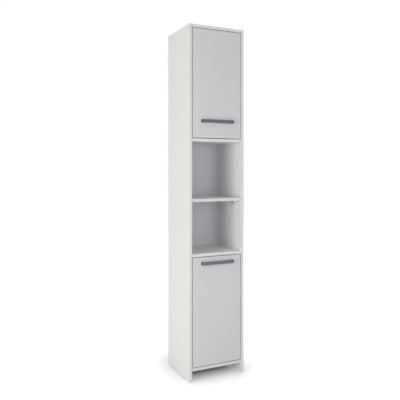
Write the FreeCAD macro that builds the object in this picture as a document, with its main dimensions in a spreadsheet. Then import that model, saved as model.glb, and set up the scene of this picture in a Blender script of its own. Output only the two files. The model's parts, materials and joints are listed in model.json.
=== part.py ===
import FreeCAD, Part
import Sketcher
import os
from FreeCAD import Placement, Rotation, Vector

# Tall bathroom cabinet in white laminated board, in millimetres.
# +Z is up, the doors face -Y and +X is to the right of someone facing them.
# The origin lies on the floor, under the middle of the whole outline.

doc = FreeCAD.newDocument("tall_bathroom_cabinet")

SIZES = (
    # carcass
    ("width", 330.0, "outside width"),
    ("depth", 300.0, "depth of the side panels"),
    ("height", 1900.0, "floor to top"),
    ("board", 16.0, "thickness of side panels, top, dividers and bottom"),
    ("glide_height", 3.0, "floor glides under the side panels"),
    ("foot_clearance", 57.0, "floor to the underside of the bottom panel"),
    ("lower_room", 588.0, "height inside the lower compartment"),
    ("niche_room", 600.0, "height inside the open niche"),
    ("edge_radius", 0.8, "rounding of banded front edges"),
    # back panel
    ("back_thickness", 3.0, "hardboard back"),
    ("back_inset", 6.0, "board left behind the back groove"),
    ("groove_depth", 6.0, "how far the back sits in its grooves"),
    ("groove_play", 0.5, "room at the side and top edges of the back"),
    # shelves and their supports
    ("shelf_thickness", 16.0, "adjustable shelves"),
    ("shelf_play", 1.0, "room between a shelf and what is round it"),
    ("niche_shelf_setback", 3.0, "niche shelf behind the front"),
    ("hidden_shelf_setback", 38.0, "shelves behind the doors, behind the front"),
    ("first_hole", 179.0, "compartment floor to its lowest pin hole"),
    ("hole_pitch", 40.0, "pin hole to pin hole"),
    ("niche_holes", 6, "pin holes in each row of the niche"),
    ("hidden_holes", 3, "pin holes in each row behind a door"),
    ("holes_below_support", 2, "hole pitches from the lowest niche hole to a support"),
    ("hole_radius", 2.5, "pin holes and support pins"),
    ("hole_depth", 9.0, "pin holes into the side panels"),
    ("front_row", 100.0, "front pin row behind the front"),
    ("rear_row", 254.0, "rear pin row behind the front"),
    ("support_drop", 18.0, "support pin up to the shelf"),
    ("support_width", 12.0, "support bracket, front to back"),
    ("support_reach", 11.0, "support ledge from the side panel"),
    ("support_metal", 2.0, "support bracket thickness"),
    # doors
    ("door_thickness", 16.0, "both doors"),
    ("door_gap", 3.0, "gap all round a door"),
    ("door_edge_radius", 1.2, "rounding of the door's front edges"),
    # handles
    ("handle_length", 190.0, "bar handle, end to end"),
    ("handle_height", 17.0, "bar handle, top to bottom"),
    ("handle_projection", 18.0, "bar handle out from the door"),
    ("handle_bar", 6.0, "thickness of the bar"),
    ("handle_leg", 9.0, "width of each end leg"),
    ("handle_corner", 2.5, "rounded outer corners of the bar"),
    ("handle_edge", 1.5, "rounded long edges of the bar"),
    ("upper_handle_rise", 90.5, "upper door's lower edge to its handle's middle"),
    ("lower_handle_drop", 33.5, "lower door's upper edge to its handle's middle"),
    ("handle_screw_radius", 2.0, "machine screws through the doors"),
    ("handle_screw_bite", 9.0, "machine screws into the handle legs"),
    ("handle_screw_head", 4.0, "radius of the pan heads inside the doors"),
    # pivot hinges let into the door ends and the boards
    ("pivot_inset", 20.0, "hinge pin from the door's hinge edge"),
    ("leaf_length", 50.0, "hinge leaf beyond its pin"),
    ("leaf_width", 10.0, "hinge leaf, front to back"),
    ("leaf_metal", 2.0, "hinge leaf thickness"),
    ("pin_radius", 2.5, "hinge pin"),
    ("pin_play", 0.05, "hinge pin in the door leaf, all round"),
    ("pin_tail", 3.0, "hinge pin beyond the door leaf"),
    ("washer_radius", 5.0, "bearing washer"),
    ("washer_play", 0.1, "bearing washer to the door leaf"),
    ("leaf_screw_near", 18.0, "hinge pin to the first leaf screw"),
    ("leaf_screw_far", 38.0, "hinge pin to the second leaf screw"),
    ("wood_screw_radius", 1.6, "shank of the small wood screws"),
    ("wood_screw_head", 3.2, "head of the small wood screws"),
    ("wood_screw_length", 14.0, "small wood screws over all"),
    # magnetic catches
    ("catch_height", 40.0, "catch housing, top to bottom"),
    ("catch_width", 13.0, "catch housing out from the side panel"),
    ("catch_depth", 15.0, "catch housing, front to back"),
    ("catch_play", 0.4, "closed strike plate to the magnet"),
    ("strike_metal", 1.2, "strike plate thickness"),
    ("strike_width", 12.0, "strike plate across the door"),
    ("strike_height", 36.0, "strike plate, top to bottom"),
    ("strike_inset", 0.5, "strike plate in from the door's edge"),
    # knock-down fittings
    ("cam_radius", 7.5, "cam locks"),
    ("cam_depth", 12.5, "cam locks into the board"),
    ("cam_inset", 30.0, "cam middle from the board's end"),
    ("front_fitting", 52.0, "front cam fitting behind the front"),
    ("rear_fitting", 236.0, "rear cam fitting behind the front"),
    ("dowel_row", 144.0, "dowel behind the front"),
    ("dowel_radius", 4.0, "wooden dowels"),
    ("dowel_in_side", 9.0, "dowel into the side panel"),
    ("dowel_in_board", 21.0, "dowel into the board"),
    ("bolt_radius", 3.0, "cam bolt shaft"),
    ("bolt_in_side", 10.0, "cam bolt into the side panel"),
    ("bolt_bore", 3.5, "bore for the cam bolt in the board"),
    # floor glides
    ("glide_radius", 7.0, "floor glide"),
    ("glide_nail_radius", 1.2, "floor glide's nail"),
    ("glide_nail", 14.0, "floor glide's nail into the panel"),
    ("glide_inset", 28.0, "floor glide from the panel's front and rear"),
    # wall bracket
    ("bracket_width", 44.0, "wall bracket, side to side"),
    ("bracket_leg", 30.0, "wall bracket legs"),
    ("bracket_metal", 2.0, "wall bracket thickness"),
    ("wall_bore", 3.2, "bore for the wall screw"),
)

sheet = doc.addObject("Spreadsheet::Sheet", "Sizes")
for row, (word, number, meaning) in enumerate(SIZES, 1):
    sheet.set(f"A{row}", meaning)
    sheet.set(f"B{row}", str(number))
    sheet.setAlias(f"B{row}", word)
doc.recompute()


class Size:
    """A length that keeps its number and the sheet formula that gives it."""

    def __init__(self, number, formula):
        self.number = float(number)
        self.formula = formula

    def __float__(self):
        return self.number

    def __add__(self, other):
        other = as_size(other)
        return Size(self.number + other.number, f"({self.formula} + {other.formula})")

    def __sub__(self, other):
        other = as_size(other)
        return Size(self.number - other.number, f"({self.formula} - {other.formula})")

    def __mul__(self, other):
        other = as_size(other)
        return Size(self.number * other.number, f"({self.formula} * {other.formula})")

    def __truediv__(self, other):
        other = as_size(other)
        return Size(self.number / other.number, f"({self.formula} / {other.formula})")

    def __neg__(self):
        return self * -1

    def __radd__(self, other):
        return as_size(other) + self

    def __rsub__(self, other):
        return as_size(other) - self

    def __rmul__(self, other):
        return as_size(other) * self


def as_size(value):
    return value if isinstance(value, Size) else Size(value, f"({value})")


def cell(word):
    return Size(sheet.get(word), f"Sizes.{word}")


def bind(thing, path, value):
    """Ties one property of an object to the sheet."""
    thing.setExpression(path, as_size(value).formula)


# ---------------------------------------------------------------- places

board = cell("board")
half_width = cell("width") / 2
inner_width = cell("width") - 2 * board
front = cell("handle_projection") / 2 - cell("depth") / 2
left_inner = board - half_width
right_inner = half_width - board
back_face = cell("depth") - cell("back_inset") - cell("back_thickness")

bottom_z = cell("foot_clearance")
lower_floor = bottom_z + board
lower_divider_z = lower_floor + cell("lower_room")
niche_floor = lower_divider_z + board
upper_divider_z = niche_floor + cell("niche_room")
upper_floor = upper_divider_z + board
top_z = cell("height") - board
BOARD_LEVELS = (top_z, upper_divider_z, lower_divider_z, bottom_z)

support_rise = cell("first_hole") + cell("hole_pitch") * cell("holes_below_support")
hidden_rise = support_rise - cell("hole_pitch")

# ------------------------------------------------------ building blocks

nodes = []


def keep(thing, label):
    """Names a finished sub-part and puts it on the list to be written."""
    thing.Label = label
    nodes.append(thing)
    return thing


def place(thing, spot):
    for axis, value in zip("xyz", spot):
        bind(thing, f"Placement.Base.{axis}", value)


def block(spot, dims):
    solid = doc.addObject("Part::Box", "block")
    for path, value in zip(("Length", "Width", "Height"), dims):
        bind(solid, path, value)
    place(solid, spot)
    return solid


TURNS = {
    "x": Rotation(Vector(0, 1, 0), 90),
    "-x": Rotation(Vector(0, 1, 0), -90),
    "y": Rotation(Vector(1, 0, 0), -90),
    "-y": Rotation(Vector(1, 0, 0), 90),
    "z": Rotation(),
    "-z": Rotation(Vector(1, 0, 0), 180),
}


def rod(spot, way, radius, length):
    """A cylinder that starts at a spot and runs along one axis."""
    solid = doc.addObject("Part::Cylinder", "rod")
    bind(solid, "Radius", radius)
    bind(solid, "Height", length)
    solid.Placement = Placement(Vector(), TURNS[way])
    place(solid, spot)
    return solid


def taper(spot, way, start_radius, end_radius, length):
    solid = doc.addObject("Part::Cone", "taper")
    bind(solid, "Radius1", start_radius)
    bind(solid, "Radius2", end_radius)
    bind(solid, "Height", length)
    solid.Placement = Placement(Vector(), TURNS[way])
    place(solid, spot)
    return solid


def joined(*pieces):
    whole = doc.addObject("Part::MultiFuse", "joined")
    whole.Shapes = list(pieces)
    return whole


def without(base, *tools):
    for tool in tools:
        cut = doc.addObject("Part::Cut", "cut")
        cut.Base = base
        cut.Tool = tool
        base = cut
    return base


def group(label, pieces):
    """Identical pieces that share one node, each a solid of its own."""
    bundle = doc.addObject("Part::Compound", label)
    bundle.Links = list(pieces)
    return keep(bundle, label)


def along(spot, way, distance):
    """A spot moved along one axis."""
    moved = list(spot)
    axis = "xyz".index(way[-1])
    moved[axis] = moved[axis] - distance if way[0] == "-" else moved[axis] + distance
    return moved


def screw_sink(spot, way, thick):
    """A countersunk head, or the hole that it fills, through a plate."""
    return taper(spot, way, cell("wood_screw_head"), cell("wood_screw_radius"), thick)


def wood_screw(spot, way, thick):
    """A countersunk screw, its head flush with the spot, through a plate."""
    shank = rod(
        along(spot, way, thick), way, cell("wood_screw_radius"), cell("wood_screw_length") - thick
    )
    return joined(screw_sink(spot, way, thick), shank)


# ------------------------------------------------- bodies and their sketches

NORMAL_SIGN = {"XY_Plane": 1, "YZ_Plane": 1, "XZ_Plane": -1}


def new_body(label, spot):
    body = doc.addObject("PartDesign::Body", label)
    place(body, spot)
    return keep(body, label)


def sketch_on(body, plane, level):
    """A sketch parallel to one of the body's own planes, at a level above it."""
    plan = body.newObject("Sketcher::SketchObject", "outline")
    origin_plane = next(
        feature for feature in body.Origin.OriginFeatures if feature.Role == plane
    )
    plan.AttachmentSupport = [(origin_plane, "")]
    plan.MapMode = "FlatFace"
    bind(plan, "AttachmentOffset.Base.z", as_size(level) * NORMAL_SIGN[plane])
    return plan


def dimension(plan, kind, where, value):
    index = plan.addConstraint(Sketcher.Constraint(kind, *where, float(value)))
    name = f"size_{index}"
    plan.renameConstraint(index, name)
    bind(plan, f"Constraints.{name}", value)


def polygon(plan, corners):
    """A closed outline through corners given by their distances from the origin."""
    first = plan.GeometryCount
    count = len(corners)
    for index, corner in enumerate(corners):
        following = corners[(index + 1) % count]
        start = Vector(float(corner[0]), float(corner[1]), 0)
        end = Vector(float(following[0]), float(following[1]), 0)
        plan.addGeometry(Part.LineSegment(start, end), False)
    for index, (right, up) in enumerate(corners):
        line = first + index
        following = first + (index + 1) % count
        plan.addConstraint(Sketcher.Constraint("Coincident", line, 2, following, 1))
        dimension(plan, "DistanceX", (-1, 1, line, 1), right)
        dimension(plan, "DistanceY", (-1, 1, line, 1), up)


def rectangle(plan, right, up, across, high):
    polygon(
        plan,
        (
            (right, up),
            (right + across, up),
            (right + across, up + high),
            (right, up + high),
        ),
    )


def circle(plan, right, up, radius):
    ring = Part.Circle(Vector(float(right), float(up), 0), Vector(0, 0, 1), float(radius))
    index = plan.addGeometry(ring, False)
    dimension(plan, "DistanceX", (-1, 1, index, 3), right)
    dimension(plan, "DistanceY", (-1, 1, index, 3), up)
    dimension(plan, "Radius", (index,), radius)


def pad(body, plan, length):
    """Material from the sketch towards the positive side of its plane's axis."""
    feature = body.newObject("PartDesign::Pad", "pad")
    feature.Profile = plan
    feature.Reversed = plan.AttachmentSupport[0][0].Role == "XZ_Plane"
    bind(feature, "Length", length)
    body.Tip = feature
    return feature


def pocket(body, plan, depth, forward):
    """A cut from the sketch, forward along its plane's axis or back."""
    feature = body.newObject("PartDesign::Pocket", "pocket")
    feature.Profile = plan
    flipped = plan.AttachmentSupport[0][0].Role == "XZ_Plane"
    feature.Reversed = forward != flipped
    bind(feature, "Length", depth)
    body.Tip = feature
    return feature


def drill(body, plane, level, forward, depth, holes):
    """Round blind holes, each given by its place in the sketch and its radius."""
    plan = sketch_on(body, plane, level)
    for right, up, radius in holes:
        circle(plan, right, up, radius)
    return pocket(body, plan, depth, forward)


def hole_row(body, level, forward, right, up, holes):
    """A vertical row of shelf-pin holes, one hole repeated at the pitch."""
    plan = sketch_on(body, "YZ_Plane", level)
    circle(plan, right, up, cell("hole_radius"))
    first = pocket(body, plan, cell("hole_depth"), forward)
    row = body.newObject("PartDesign::LinearPattern", "row")
    row.Originals = [first]
    row.Direction = (plan, ["V_Axis"])
    bind(row, "Occurrences", holes)
    bind(row, "Length", cell("hole_pitch") * (holes - 1))
    body.Tip = row


def round_edges(body, radius, wanted):
    """Rounds the edges of the body's last feature that a test picks out."""
    doc.recompute()
    base = body.Tip
    names = [
        f"Edge{number}" for number, edge in enumerate(base.Shape.Edges, 1) if wanted(edge)
    ]
    feature = body.newObject("PartDesign::Fillet", "rounding")
    feature.Base = (base, names)
    bind(feature, "Radius", radius)
    body.Tip = feature


def lies_at(edge, axis, value):
    """True where a whole edge lies at one value of an axis, in the body's own frame."""
    return all(abs(getattr(vertex.Point, axis) - float(value)) < 0.001 for vertex in edge.Vertexes)


def runs_along(edge, axis):
    ends = [vertex.Point for vertex in edge.Vertexes]
    span = ends[-1] - ends[0]
    return abs(abs(getattr(span, axis)) - span.Length) < 0.001


# ------------------------------------------------------------ side panels


def side_panel(label, left_side):
    """A full-height board whose lower end is a leg."""
    outer = -half_width if left_side else right_inner
    body = new_body(label, (outer, front, cell("glide_height")))
    tall = cell("height") - cell("glide_height")
    plan = sketch_on(body, "XY_Plane", 0)
    rectangle(plan, 0, 0, board, cell("depth"))
    pad(body, plan, tall)
    round_edges(
        body, cell("edge_radius"), lambda edge: lies_at(edge, "y", 0) and runs_along(edge, "z")
    )
    inner = board if left_side else as_size(0)
    into = not left_side
    groove = sketch_on(body, "XY_Plane", 0)
    groove_left = board - cell("groove_depth") if left_side else as_size(0)
    rectangle(groove, groove_left, back_face, cell("groove_depth"), cell("back_thickness"))
    pocket(body, groove, tall, True)

    bolt_holes = []
    dowel_holes = []
    for level in BOARD_LEVELS:
        middle = level + board / 2 - cell("glide_height")
        for row in (cell("front_fitting"), cell("rear_fitting")):
            bolt_holes.append((row, middle, cell("bolt_radius")))
        dowel_holes.append((cell("dowel_row"), middle, cell("dowel_radius")))
    drill(body, "YZ_Plane", inner, into, cell("bolt_in_side"), bolt_holes)
    drill(body, "YZ_Plane", inner, into, cell("dowel_in_side"), dowel_holes)
    for floor, rise, holes in (
        (lower_floor, hidden_rise, cell("hidden_holes")),
        (niche_floor, cell("first_hole"), cell("niche_holes")),
        (upper_floor, hidden_rise, cell("hidden_holes")),
    ):
        for row in (cell("front_row"), cell("rear_row")):
            hole_row(body, inner, into, row, floor + rise - cell("glide_height"), holes)

    glide_holes = [
        (board / 2, row, cell("glide_nail_radius"))
        for row in (cell("glide_inset"), cell("depth") - cell("glide_inset"))
    ]
    drill(body, "XY_Plane", 0, True, cell("glide_nail"), glide_holes)
    if left_side:
        catch_holes = [
            (catch_row, level - cell("glide_height"), cell("wood_screw_radius"))
            for _, level in catch_screw_spots()
        ]
        drill(body, "YZ_Plane", inner, into, catch_bite, catch_holes)
    return body


# ------------------------------------------------------- doors' outlines

door_width = inner_width - 2 * cell("door_gap")
door_left = left_inner + cell("door_gap")
pivot_x = right_inner - cell("door_gap") - cell("pivot_inset")
pivot_y = front + cell("door_thickness") / 2
lower_door_z = lower_floor + cell("door_gap")
lower_door_height = cell("lower_room") - 2 * cell("door_gap")
upper_door_z = upper_floor + cell("door_gap")
upper_door_height = top_z - upper_floor - 2 * cell("door_gap")
DOORS = (
    ("upper", upper_door_z, upper_door_height, cell("upper_handle_rise")),
    (
        "lower",
        lower_door_z,
        lower_door_height,
        lower_door_height - cell("lower_handle_drop"),
    ),
)

strike_front = cell("door_thickness")
catch_front = strike_front + cell("strike_metal") + cell("catch_play")
catch_row = catch_front + cell("catch_depth") / 2
CATCH_SCREW_OFFSET = 0.36  # of the housing's height, above and below its middle
catch_wall = 3.0
catch_bite = cell("wood_screw_length") - catch_wall


def catch_middles():
    return [bottom + tall / 2 for _, bottom, tall, _ in DOORS]


def catch_screw_spots():
    """The height of each catch screw, with the height of its catch."""
    offset = cell("catch_height") * CATCH_SCREW_OFFSET
    return [(middle, middle + side * offset) for middle in catch_middles() for side in (-1, 1)]


# ------------------------------------------------------ horizontal boards


def leaf_mortise(body, level, upwards, pivot_right, pivot_back, metal, bite):
    """The recess for a hinge leaf, with its screw holes, in a flat face."""
    plan = sketch_on(body, "XY_Plane", level)
    half = cell("leaf_width") / 2
    rectangle(
        plan,
        pivot_right - cell("leaf_length"),
        pivot_back - half,
        cell("leaf_length"),
        cell("leaf_width"),
    )
    pocket(body, plan, metal, upwards)
    drill(body, "XY_Plane", level, upwards, metal, [(pivot_right, pivot_back, half)])
    holes = [
        (pivot_right - reach, pivot_back, cell("wood_screw_radius"))
        for reach in (cell("leaf_screw_near"), cell("leaf_screw_far"))
    ]
    drill(body, "XY_Plane", level, upwards, bite, holes)


def carcass_board(label, level, deep, cams_on_top, hinge_on_top):
    """A fixed board between the side panels, with its fittings and hinge recess."""
    body = new_body(label, (left_inner, front, level))
    plan = sketch_on(body, "XY_Plane", 0)
    rectangle(plan, 0, 0, inner_width, deep)
    pad(body, plan, board)
    round_edges(
        body, cell("edge_radius"), lambda edge: lies_at(edge, "y", 0) and runs_along(edge, "x")
    )
    cam_level = board if cams_on_top else as_size(0)
    cam_inset = cell("cam_inset")
    cams = [
        (right, row, cell("cam_radius"))
        for right in (cam_inset, inner_width - cam_inset)
        for row in (cell("front_fitting"), cell("rear_fitting"))
    ]
    drill(body, "XY_Plane", cam_level, not cams_on_top, cell("cam_depth"), cams)
    bolt_ways = [
        (row, board / 2, cell("bolt_bore"))
        for row in (cell("front_fitting"), cell("rear_fitting"))
    ]
    dowel_way = [(cell("dowel_row"), board / 2, cell("dowel_radius"))]
    for end, forward in ((as_size(0), True), (inner_width, False)):
        drill(body, "YZ_Plane", end, forward, cam_inset, bolt_ways)
        drill(body, "YZ_Plane", end, forward, cell("dowel_in_board"), dowel_way)
    leaf_mortise(
        body,
        board if hinge_on_top else as_size(0),
        not hinge_on_top,
        inner_width - cell("door_gap") - cell("pivot_inset"),
        cell("door_thickness") / 2,
        cell("leaf_metal"),
        cell("wood_screw_length"),
    )
    return body


def back_groove(body, on_top):
    """The groove across a board for the edge of the back panel."""
    level = board if on_top else as_size(0)
    plan = sketch_on(body, "XY_Plane", level)
    rectangle(plan, 0, back_face, inner_width, cell("back_thickness"))
    pocket(body, plan, cell("groove_depth"), not on_top)


def fixed_boards():
    top = carcass_board("top_panel", top_z, cell("depth"), False, False)
    back_groove(top, False)
    reach = cell("bracket_leg") / 2
    bracket_holes = [
        (inner_width / 2 + side * cell("bracket_width") / 4, back_face - reach, cell("wood_screw_radius"))
        for side in (-1, 1)
    ]
    bite = cell("wood_screw_length") - cell("bracket_metal")
    drill(top, "XY_Plane", 0, True, bite, bracket_holes)
    carcass_board("upper_divider", upper_divider_z, back_face, True, True)
    carcass_board("lower_divider", lower_divider_z, back_face, False, False)
    bottom = carcass_board("bottom_panel", bottom_z, cell("depth"), False, True)
    back_groove(bottom, True)


wall_bore_z = top_z - cell("bracket_leg") * 0.6


def back_panel():
    """Thin hardboard in the grooves of the sides, the top and the bottom."""
    reach = cell("groove_depth") - cell("groove_play")
    base_z = lower_floor - cell("groove_depth")
    tall = top_z + reach - base_z
    body = new_body("back_panel", (left_inner - reach, front + back_face, base_z))
    plan = sketch_on(body, "XZ_Plane", 0)
    rectangle(plan, 0, 0, inner_width + 2 * reach, tall)
    pad(body, plan, cell("back_thickness"))
    hole = [(inner_width / 2 + reach, wall_bore_z - base_z, cell("wall_bore"))]
    drill(body, "XZ_Plane", 0, True, cell("back_thickness"), hole)
    return body


# ----------------------------------------------------------- loose shelves


def loose_shelf(label, floor, setback):
    underside = floor + support_rise + cell("support_drop")
    play = cell("shelf_play")
    body = new_body(label, (left_inner + play, front + setback, underside))
    plan = sketch_on(body, "XY_Plane", 0)
    rectangle(plan, 0, 0, inner_width - 2 * play, back_face - play - setback)
    pad(body, plan, cell("shelf_thickness"))
    round_edges(
        body, cell("edge_radius"), lambda edge: lies_at(edge, "y", 0) and runs_along(edge, "x")
    )
    return body


def shelf_support(wall_x, way, row, pin_z):
    """A pin in the side panel with a bent plate that carries the shelf."""
    metal = cell("support_metal")
    start_y = front + row - cell("support_width") / 2
    drop = cell("support_drop")
    tail = cell("hole_radius") * 2
    left = wall_x if way == 1 else wall_x - metal
    ledge_left = wall_x if way == 1 else wall_x - cell("support_reach")
    upright = block((left, start_y, pin_z - tail), (metal, cell("support_width"), drop + tail))
    ledge = block(
        (ledge_left, start_y, pin_z + drop - metal),
        (cell("support_reach"), cell("support_width"), metal),
    )
    pin = rod(
        (wall_x, front + row, pin_z), "-x" if way == 1 else "x", cell("hole_radius"), cell("hole_depth")
    )
    return joined(upright, ledge, pin)


def shelf_supports(label, floor):
    supports = [
        shelf_support(wall_x, way, row, floor + support_rise)
        for wall_x, way in ((left_inner, 1), (right_inner, -1))
        for row in (cell("front_row"), cell("rear_row"))
    ]
    return group(label, supports)


# ------------------------------------------------------------------ doors


def door(label, bottom, tall, handle_rise):
    body = new_body(label, (door_left, front, bottom))
    plan = sketch_on(body, "XZ_Plane", 0)
    rectangle(plan, 0, 0, door_width, tall)
    pad(body, plan, cell("door_thickness"))
    round_edges(body, cell("door_edge_radius"), lambda edge: lies_at(edge, "y", 0))
    hinge_right = door_width - cell("pivot_inset")
    hinge_back = cell("door_thickness") / 2
    pin_bore = cell("pin_radius") + 0.5
    for level, upwards in ((as_size(0), True), (tall, False)):
        leaf_mortise(
            body, level, upwards, hinge_right, hinge_back, cell("leaf_metal"), cell("wood_screw_length")
        )
        deep = cell("leaf_metal") + cell("pin_tail") + 1
        drill(body, "XY_Plane", level, upwards, deep, [(hinge_right, hinge_back, pin_bore)])
    screw_holes = [
        (right, handle_rise, cell("handle_screw_radius")) for right in handle_screw_rights()
    ]
    drill(body, "XZ_Plane", 0, True, cell("door_thickness"), screw_holes)
    strike_hole = [(strike_middle, tall / 2, cell("wood_screw_radius"))]
    strike_bite = strike_screw_length - cell("strike_metal")
    drill(body, "XZ_Plane", cell("door_thickness"), False, strike_bite, strike_hole)
    return body


strike_middle = cell("strike_inset") + cell("strike_width") / 2
strike_screw_length = cell("door_thickness") * 0.6


def handle_screw_rights():
    """Where the handle screws pass through a door, from its left edge."""
    reach = (cell("handle_length") - cell("handle_leg")) / 2
    return [door_width / 2 - reach, door_width / 2 + reach]


def handle(label, middle_z):
    """A flat bar with a leg at each end, cut from one bent outline."""
    length = cell("handle_length")
    out = cell("handle_projection")
    leg = cell("handle_leg")
    bar = cell("handle_bar")
    spot = (-length / 2, front - out, middle_z - cell("handle_height") / 2)
    body = new_body(label, spot)
    plan = sketch_on(body, "XY_Plane", 0)
    polygon(
        plan,
        (
            (as_size(0), as_size(0)),
            (length, as_size(0)),
            (length, out),
            (length - leg, out),
            (length - leg, bar),
            (leg, bar),
            (leg, out),
            (as_size(0), out),
        ),
    )
    pad(body, plan, cell("handle_height"))
    round_edges(
        body, cell("handle_corner"), lambda edge: lies_at(edge, "y", 0) and runs_along(edge, "z")
    )
    round_edges(
        body, cell("handle_edge"), lambda edge: lies_at(edge, "y", 0) and runs_along(edge, "x")
    )
    bites = [
        (right, cell("handle_height") / 2, cell("handle_screw_radius"))
        for right in (leg / 2, length - leg / 2)
    ]
    drill(body, "XZ_Plane", out, False, cell("handle_screw_bite"), bites)
    return body


def handle_screws(label, middle_z):
    """Machine screws from inside the door into the handle's legs."""
    back = front + cell("door_thickness")
    head_height = 2.4
    screws = []
    for right in handle_screw_rights():
        spot = (door_left + right, back, middle_z)
        length = cell("door_thickness") + cell("handle_screw_bite")
        screws.append(
            joined(
                rod(spot, "-y", cell("handle_screw_radius"), length),
                rod(spot, "y", cell("handle_screw_head"), head_height),
            )
        )
    return group(label, screws)


# ----------------------------------------------------------- pivot hinges


def hinge_leaf(level, upwards, hole_radius):
    """A flat leaf with a round end at the pin; its flat face is at the level."""
    metal = cell("leaf_metal")
    half = cell("leaf_width") / 2
    base = level if upwards else level - metal
    way = "z" if upwards else "-z"
    plate = joined(
        block((pivot_x - cell("leaf_length"), pivot_y - half, base), (cell("leaf_length"), cell("leaf_width"), metal)),
        rod((pivot_x, pivot_y, base), "z", half, metal),
    )
    eye = rod((pivot_x, pivot_y, base), "z", hole_radius, metal)
    sinks = [
        screw_sink((pivot_x - reach, pivot_y, level), way, metal)
        for reach in (cell("leaf_screw_near"), cell("leaf_screw_far"))
    ]
    return without(plate, eye, *sinks)


def leaf_screws(level, upwards):
    way = "z" if upwards else "-z"
    return [
        wood_screw((pivot_x - reach, pivot_y, level), way, cell("leaf_metal"))
        for reach in (cell("leaf_screw_near"), cell("leaf_screw_far"))
    ]


def hinge_ends():
    """Each hinge: the board face it meets, the door face, and if the board is above."""
    gap = cell("door_gap")
    ends = []
    for _, bottom, tall, _ in DOORS:
        ends.append((bottom - gap, bottom, False))
        ends.append((bottom + tall + gap, bottom + tall, True))
    return ends


def frame_hinges():
    leaves = []
    screws = []
    pins = []
    washers = []
    metal = cell("leaf_metal")
    for board_face, _, above in hinge_ends():
        leaves.append(hinge_leaf(board_face, above, cell("pin_radius")))
        screws.extend(leaf_screws(board_face, above))
        start = board_face + metal if above else board_face - metal
        way = "-z" if above else "z"
        reach = 2 * metal + cell("door_gap") + cell("pin_tail")
        pins.append(rod((pivot_x, pivot_y, start), way, cell("pin_radius"), reach))
        thick = cell("door_gap") - cell("washer_play")
        face = (pivot_x, pivot_y, board_face)
        washers.append(
            without(
                rod(face, way, cell("washer_radius"), thick),
                rod(face, way, cell("pin_radius"), thick),
            )
        )
    group("hinge_frame_leaves", leaves)
    group("hinge_frame_screws", screws)
    group("hinge_pins", pins)
    group("hinge_washers", washers)


def door_hinges(name, bottom, tall):
    leaves = []
    screws = []
    hole = cell("pin_radius") + cell("pin_play")
    for level, upwards in ((bottom, True), (bottom + tall, False)):
        leaves.append(hinge_leaf(level, upwards, hole))
        screws.extend(leaf_screws(level, upwards))
    group(f"{name}_door_hinge_leaves", leaves)
    group(f"{name}_door_hinge_screws", screws)


# ------------------------------------------------------- magnetic catches


def catches():
    """A plastic housing on the left side panel holds a magnet in a steel yoke."""
    tall = cell("catch_height")
    wide = cell("catch_width")
    deep = cell("catch_depth")
    start_y = front + catch_front
    housings = []
    magnets = []
    screws = []
    magnet_tall = tall * 0.42
    magnet_deep = deep * 0.6
    for middle in catch_middles():
        body = block((left_inner, start_y, middle - tall / 2), (wide, deep, tall))
        nest = (left_inner + catch_wall, start_y, middle - magnet_tall / 2)
        nest_dims = (wide - 2 * catch_wall, magnet_deep, magnet_tall)
        cutters = [block(nest, nest_dims)]
        for _, level in catch_screw_spots():
            if float(level) < float(middle - tall) or float(level) > float(middle + tall):
                continue
            sink = (left_inner + catch_wall, front + catch_row, level)
            cutters.append(rod(sink, "x", cell("wood_screw_head") + 0.3, wide))
            cutters.append(screw_sink(sink, "-x", catch_wall))
            screws.append(wood_screw(sink, "-x", catch_wall))
        housings.append(without(body, *cutters))
        magnets.append(block(nest, nest_dims))
    group("catch_housings", housings)
    group("catch_magnets", magnets)
    group("catch_screws", screws)


def strike_plate(name, bottom, tall):
    """A steel plate on the door's inner face, opposite the magnet."""
    wide = cell("strike_width")
    middle = (door_left + strike_middle, front + strike_front, bottom + tall / 2)
    metal = cell("strike_metal")
    plate = block(
        (middle[0] - wide / 2, middle[1], middle[2] - cell("strike_height") / 2),
        (wide, metal, cell("strike_height")),
    )
    shank = cell("wood_screw_radius")
    head = shank + metal
    face = along(middle, "y", metal)
    sink = taper(face, "-y", head, shank, metal)
    keep(without(plate, sink), f"{name}_strike_plate")
    screw = joined(
        taper(face, "-y", head, shank, metal),
        rod(middle, "-y", shank, strike_screw_length - metal),
    )
    keep(screw, f"{name}_strike_screw")


# ------------------------------------------------------ knock-down fittings


def board_ends():
    """Each end of each fixed board: board level, cams on top, end x and way in."""
    ends = []
    for level in BOARD_LEVELS:
        cams_on_top = level is upper_divider_z
        ends.append((level, cams_on_top, left_inner, 1))
        ends.append((level, cams_on_top, right_inner, -1))
    return ends


def knock_down_fittings():
    """Cam locks, the bolts that they pull on, and dowels between them."""
    locks = []
    bolts = []
    dowels = []
    bolt = cell("bolt_radius")
    mouth_half = cell("bolt_bore")
    past_middle = bolt
    for level, cams_on_top, end_x, way in board_ends():
        middle_z = level + board / 2
        inward = "x" if way == 1 else "-x"
        outward = "-x" if way == 1 else "x"
        for row in (cell("front_fitting"), cell("rear_fitting")):
            cam_x = end_x + way * cell("cam_inset")
            cam_face = level + board if cams_on_top else level
            cam_way = "-z" if cams_on_top else "z"
            cam = rod((cam_x, front + row, cam_face), cam_way, cell("cam_radius"), cell("cam_depth"))
            mouth_start = cam_x - cell("cam_radius") if way == 1 else cam_x - past_middle
            mouth = block(
                (mouth_start, front + row - mouth_half, middle_z - mouth_half),
                (cell("cam_radius") + past_middle, 2 * mouth_half, 2 * mouth_half),
            )
            locks.append(without(cam, mouth))
            root = along((end_x, front + row, middle_z), outward, cell("bolt_in_side"))
            bolts.append(rod(root, inward, bolt, cell("bolt_in_side") + cell("cam_inset")))
        start = along((end_x, front + cell("dowel_row"), middle_z), outward, cell("dowel_in_side"))
        dowels.append(
            rod(start, inward, cell("dowel_radius"), cell("dowel_in_side") + cell("dowel_in_board"))
        )
    group("cam_locks", locks)
    group("cam_bolts", bolts)
    group("wooden_dowels", dowels)


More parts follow.
